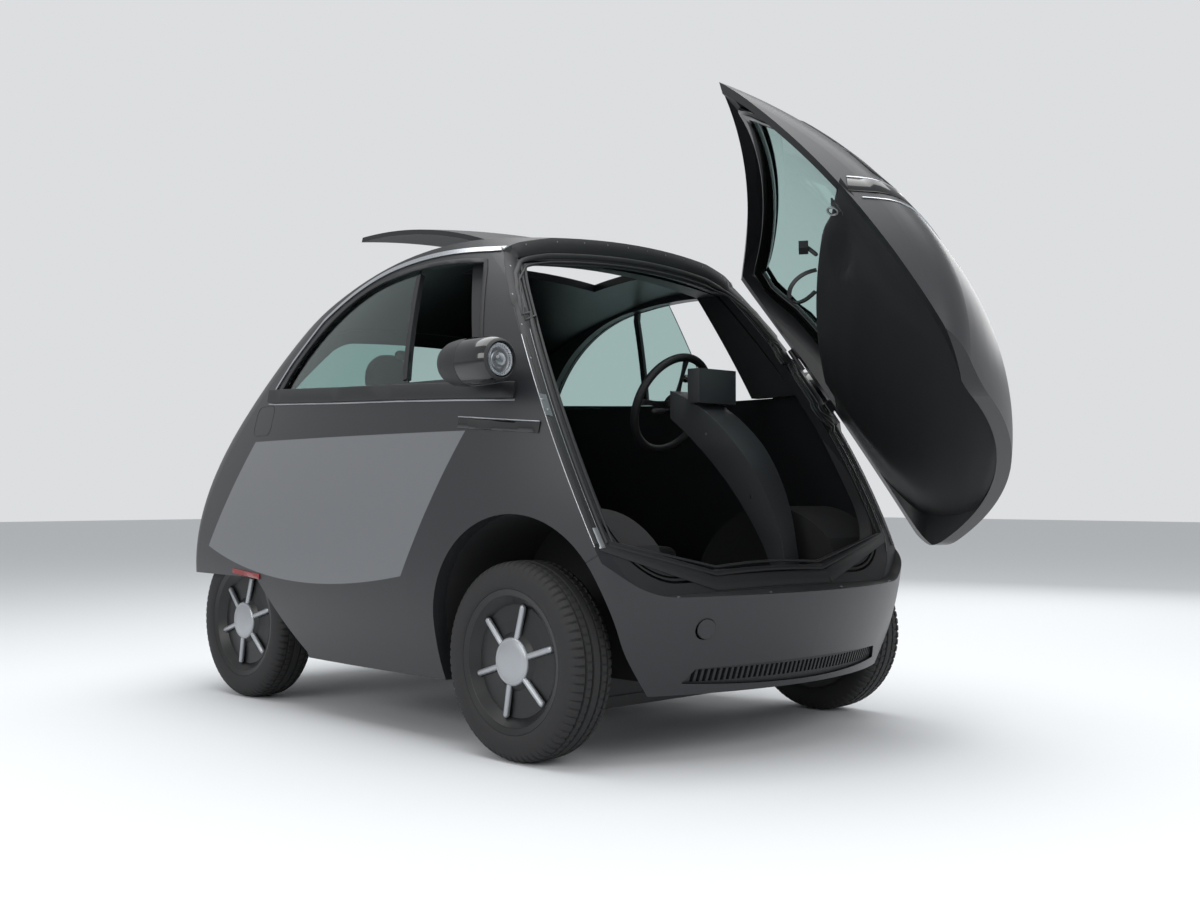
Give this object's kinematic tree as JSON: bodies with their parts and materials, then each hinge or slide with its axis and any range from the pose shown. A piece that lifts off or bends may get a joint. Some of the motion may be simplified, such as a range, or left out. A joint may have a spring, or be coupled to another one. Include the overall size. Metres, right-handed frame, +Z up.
{
  "type": "two-seat bubble microcar",
  "caption": "Small two-seat electric bubble car with a single front door swung open, rear gate, sunroof flap, sliding side windows and narrow rear track",
  "frame": {"origin": "on the floor, on the centre plane, midway between the axles", "axes": "+X forward, +Y the car's left, +Z up"},
  "size_m": [3.114, 1.646, 1.8428],
  "materials": {
    "body_matt": "matt dark grey paint",
    "trim_black": "textured black",
    "sunroof_black": "satin black",
    "glass_tint": "clear with a light green tint",
    "trim_bright": "brushed bright",
    "lens_clear": "clear",
    "light_bar_front": "clear over white",
    "light_bar_rear": "deep red",
    "tyre_black": "matt rubber",
    "wheel_gloss": "gloss black with silver cap and arms",
    "chassis_steel": "black coated steel",
    "floor_black": "matt black",
    "battery_case": "plain",
    "seat_cloth": "dark woven",
    "steering_rim": "soft black with metal spokes",
    "pedal_black": "ribbed"
  },
  "bodies": {
    "body": {"side_panel_right": "body_matt", "side_panel_left": "body_matt", "roof_panel": "body_matt", "tail_panel": "body_matt", "front_bumper": "body_matt", "door_opening_frame": "trim_black", "steering_arm": "trim_black", "lamp_pod_right": "trim_black", "lamp_pod_left": "trim_black", "front_grille": "trim_black", "bench_base": "trim_black", "side_glass_right": "glass_tint", "side_glass_left": "glass_tint", "roof_trim_right": "trim_bright", "roof_trim_left": "trim_bright", "lamp_lens_right": "lens_clear", "lamp_lens_left": "lens_clear", "front_beam": "chassis_steel", "rear_axle": "chassis_steel", "motor_block": "chassis_steel", "floor_pan": "floor_black", "rear_deck": "floor_black", "battery_block": "battery_case", "seat_cushion": "seat_cloth", "seat_back": "seat_cloth", "headrest_right": "seat_cloth", "headrest_left": "seat_cloth", "pedals": "pedal_black"},
    "door": {"door_shell": "body_matt", "windscreen": "glass_tint", "door_trim": "trim_black", "door_light_bar": "light_bar_front"},
    "gate": {"tailgate": "body_matt", "tailgate_glass": "glass_tint", "tail_light_bar": "light_bar_rear"},
    "sunroof": {"sunroof_panel": "sunroof_black"},
    "steer_right": {"knuckle_right": "chassis_steel"},
    "steer_left": {"knuckle_left": "chassis_steel"},
    "roll_front_right": {"tyre_front_right": "tyre_black", "wheel_front_right": "wheel_gloss"},
    "roll_front_left": {"tyre_front_left": "tyre_black", "wheel_front_left": "wheel_gloss"},
    "roll_rear_right": {"tyre_rear_right": "tyre_black", "wheel_rear_right": "wheel_gloss"},
    "roll_rear_left": {"tyre_rear_left": "tyre_black", "wheel_rear_left": "wheel_gloss"},
    "steering": {"steering_wheel": "steering_rim"}
  },
  "joints": [
    {"name": "door_hinge", "type": "hinge", "parent": "body", "child": "door", "pos_m": [0.8, 0.66, 1], "axis": [-0.5131, -0.1891, 0.8373], "range_deg": [-42.9, 0]},
    {"name": "gate_hinge", "type": "hinge", "parent": "body", "child": "gate", "pos_m": [-0.476, 0, 1.318], "axis": [0, 1, 0], "range_deg": [0, 65]},
    {"name": "sunroof_hinge", "type": "hinge", "parent": "body", "child": "sunroof", "pos_m": [0.318, 0, 1.496], "axis": [0, 1, 0], "range_deg": [-20.5, 0]},
    {"name": "steer_right", "type": "hinge", "parent": "body", "child": "steer_right", "pos_m": [0.783, -0.557, 0.2665], "axis": [0, 0, 1], "range_deg": [-30, 30]},
    {"name": "steer_left", "type": "hinge", "parent": "body", "child": "steer_left", "pos_m": [0.783, 0.557, 0.2665], "axis": [0, 0, 1], "range_deg": [-30, 30]},
    {"name": "steering_wheel", "type": "hinge", "parent": "body", "child": "steering", "pos_m": [0.43, 0.3, 1.01], "axis": [-0.9121, 0, 0.4099], "range_deg": [-450, 450]},
    {"name": "spin_front_right", "type": "hinge", "parent": "steer_right", "child": "roll_front_right", "pos_m": [0.783, -0.6525, 0.2665], "axis": [0, 1, 0], "continuous": true},
    {"name": "spin_front_left", "type": "hinge", "parent": "steer_left", "child": "roll_front_left", "pos_m": [0.783, 0.6525, 0.2665], "axis": [0, 1, 0], "continuous": true},
    {"name": "spin_rear_right", "type": "hinge", "parent": "body", "child": "roll_rear_right", "pos_m": [-0.783, -0.535, 0.2665], "axis": [0, 1, 0], "continuous": true},
    {"name": "spin_rear_left", "type": "hinge", "parent": "body", "child": "roll_rear_left", "pos_m": [-0.783, 0.535, 0.2665], "axis": [0, 1, 0], "continuous": true}
  ],
  "couplings": [
    {"joint": "steer_left", "follows": "steer_right", "ratio": 1},
    {"joint": "steering_wheel", "follows": "steer_right", "ratio": 15}
  ]
}
